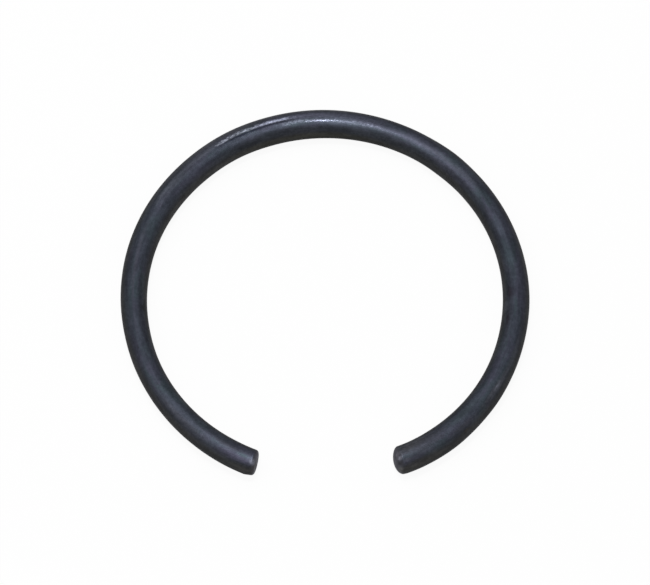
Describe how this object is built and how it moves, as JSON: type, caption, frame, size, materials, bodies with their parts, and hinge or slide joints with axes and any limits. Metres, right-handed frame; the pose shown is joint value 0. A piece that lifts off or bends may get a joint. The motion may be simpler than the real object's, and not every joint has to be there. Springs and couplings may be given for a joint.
{
  "type": "retaining ring",
  "caption": "Open ring of round spring wire with square-cut ends, which snaps into a round groove in a bore to hold a part in place.",
  "frame": {"origin": "centre of the ring, on the middle plane of its wire", "axes": "+Z along the ring's axis, upwards as it lies flat; +X to the right, along its widest side; the gap between its ends faces -Y"},
  "size_m": [0.0304, 0.0294, 0.002],
  "materials": {
    "blackened_spring_steel": "satin"
  },
  "bodies": {
    "root": {"retaining_ring": "blackened_spring_steel"}
  },
  "joints": []
}
